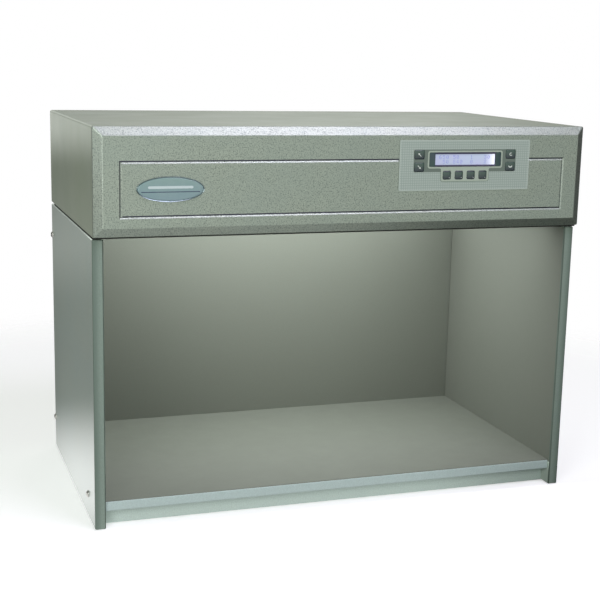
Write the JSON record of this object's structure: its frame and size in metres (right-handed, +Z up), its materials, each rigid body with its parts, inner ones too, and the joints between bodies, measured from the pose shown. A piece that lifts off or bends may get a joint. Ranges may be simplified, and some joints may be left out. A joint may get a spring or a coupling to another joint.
{
  "type": "colour assessment cabinet",
  "caption": "Open-fronted grey viewing booth under a lamp hood with a key panel, display and oval badge; fluorescent tubes light the samples placed inside.",
  "frame": {"origin": "middle of the cabinet's width and depth, on the floor it stands on", "axes": "+X to the viewer's right facing the open front, +Y to the back, +Z up; the open front faces -Y"},
  "size_m": [0.7164, 0.4111, 0.545],
  "materials": {
    "painted_board": "satin grey-green paint",
    "hood_paint": "satin paint",
    "fascia_paint": "fine speckled paint",
    "gear_paint": "white gloss paint",
    "reflector": "bright reflector",
    "opal": "opal acrylic",
    "lamp_glass": "phosphor-coated glass",
    "holder_plastic": "moulded white",
    "ballast_case": "galvanised",
    "screw_steel": "bright plated",
    "foam_rubber": "foam strip",
    "circuit_board": "green solder mask",
    "display_glass": "lit display",
    "bezel_plastic": "gloss moulded",
    "overlay_film": "textured film",
    "key_film": "embossed film",
    "badge_enamel": "enamelled plate",
    "black_plastic": "moulded black",
    "wire_sleeve": "braided sleeve"
  },
  "bodies": {
    "cabinet": {"back_panel": "painted_board", "badge": "badge_enamel", "ballast_1": "ballast_case", "ballast_2": "ballast_case", "ballast_3": "ballast_case", "base_board": "painted_board", "control_board": "circuit_board", "display_bezel": "bezel_plastic", "display_module": "display_glass", "front_fascia": "fascia_paint", "gear_tray": "gear_paint", "hood_bolt_left_front": "screw_steel", "hood_bolt_left_rear": "screw_steel", "hood_bolt_right_front": "screw_steel", "hood_bolt_right_rear": "screw_steel", "key_overlay": "overlay_film", "lamp_housing": "hood_paint", "lampholder_left_1": "holder_plastic", "lampholder_left_2": "holder_plastic", "lampholder_left_3": "holder_plastic", "lampholder_left_4": "holder_plastic", "lampholder_left_5": "holder_plastic", "lampholder_right_1": "holder_plastic", "lampholder_right_2": "holder_plastic", "lampholder_right_3": "holder_plastic", "lampholder_right_4": "holder_plastic", "lampholder_right_5": "holder_plastic", "left_side_panel": "painted_board", "mains_inlet": "black_plastic", "plinth": "painted_board", "power_supply": "ballast_case", "reflector": "reflector", "right_side_panel": "painted_board", "seat_strip_front": "foam_rubber", "seat_strip_left": "foam_rubber", "seat_strip_right": "foam_rubber", "side_screw_left_front": "screw_steel", "side_screw_left_rear_high": "screw_steel", "side_screw_left_rear_low": "screw_steel", "side_screw_right_front": "screw_steel", "side_screw_right_rear_high": "screw_steel", "side_screw_right_rear_low": "screw_steel", "switch_frame": "black_plastic", "wiring_loom": "wire_sleeve"},
    "lamp_1": {"lamp_tube_1": "lamp_glass"},
    "lamp_2": {"lamp_tube_2": "lamp_glass"},
    "lamp_3": {"lamp_tube_3": "lamp_glass"},
    "lamp_4": {"lamp_tube_4": "lamp_glass"},
    "lamp_5": {"lamp_tube_5": "lamp_glass"},
    "diffuser_panel": {"diffuser": "opal"},
    "fuse_carrier": {"fuse_drawer": "black_plastic"},
    "rocker": {"switch_rocker": "black_plastic"},
    "key_upper_left_button": {"key_upper_left": "key_film"},
    "key_lower_left_button": {"key_lower_left": "key_film"},
    "key_upper_right_button": {"key_upper_right": "key_film"},
    "key_lower_right_button": {"key_lower_right": "key_film"},
    "key_row_1_button": {"key_row_1": "key_film"},
    "key_row_2_button": {"key_row_2": "key_film"},
    "key_row_3_button": {"key_row_3": "key_film"},
    "key_row_4_button": {"key_row_4": "key_film"}
  },
  "joints": [
    {"name": "lamp_1_twist", "type": "hinge", "parent": "cabinet", "child": "lamp_1", "pos_m": [0, -0.111, 0.445], "axis": [1, 0, 0], "range_deg": [0, 90]},
    {"name": "lamp_2_twist", "type": "hinge", "parent": "cabinet", "child": "lamp_2", "pos_m": [0, -0.048, 0.445], "axis": [1, 0, 0], "range_deg": [0, 90]},
    {"name": "lamp_3_twist", "type": "hinge", "parent": "cabinet", "child": "lamp_3", "pos_m": [0, 0.015, 0.445], "axis": [1, 0, 0], "range_deg": [0, 90]},
    {"name": "lamp_4_twist", "type": "hinge", "parent": "cabinet", "child": "lamp_4", "pos_m": [0, 0.078, 0.445], "axis": [1, 0, 0], "range_deg": [0, 90]},
    {"name": "lamp_5_twist", "type": "hinge", "parent": "cabinet", "child": "lamp_5", "pos_m": [0, 0.141, 0.445], "axis": [1, 0, 0], "range_deg": [0, 90]},
    {"name": "diffuser_lift", "type": "slide", "parent": "cabinet", "child": "diffuser_panel", "axis": [0, 0, 1], "range_m": [0, 0.02]},
    {"name": "fuse_drawer_slide", "type": "slide", "parent": "cabinet", "child": "fuse_carrier", "axis": [0, 1, 0], "range_m": [0, 0.018]},
    {"name": "switch_rock", "type": "hinge", "parent": "cabinet", "child": "rocker", "pos_m": [0.215, 0.2, 0.514], "axis": [1, 0, 0], "range_deg": [0, 16]},
    {"name": "key_upper_left_press", "type": "slide", "parent": "cabinet", "child": "key_upper_left_button", "axis": [0, 1, 0], "range_m": [0, 0.0006], "stiffness_N_per_m": 1500},
    {"name": "key_lower_left_press", "type": "slide", "parent": "cabinet", "child": "key_lower_left_button", "axis": [0, 1, 0], "range_m": [0, 0.0006], "stiffness_N_per_m": 1500},
    {"name": "key_upper_right_press", "type": "slide", "parent": "cabinet", "child": "key_upper_right_button", "axis": [0, 1, 0], "range_m": [0, 0.0006], "stiffness_N_per_m": 1500},
    {"name": "key_lower_right_press", "type": "slide", "parent": "cabinet", "child": "key_lower_right_button", "axis": [0, 1, 0], "range_m": [0, 0.0006], "stiffness_N_per_m": 1500},
    {"name": "key_row_1_press", "type": "slide", "parent": "cabinet", "child": "key_row_1_button", "axis": [0, 1, 0], "range_m": [0, 0.0006], "stiffness_N_per_m": 1500},
    {"name": "key_row_2_press", "type": "slide", "parent": "cabinet", "child": "key_row_2_button", "axis": [0, 1, 0], "range_m": [0, 0.0006], "stiffness_N_per_m": 1500},
    {"name": "key_row_3_press", "type": "slide", "parent": "cabinet", "child": "key_row_3_button", "axis": [0, 1, 0], "range_m": [0, 0.0006], "stiffness_N_per_m": 1500},
    {"name": "key_row_4_press", "type": "slide", "parent": "cabinet", "child": "key_row_4_button", "axis": [0, 1, 0], "range_m": [0, 0.0006], "stiffness_N_per_m": 1500}
  ]
}
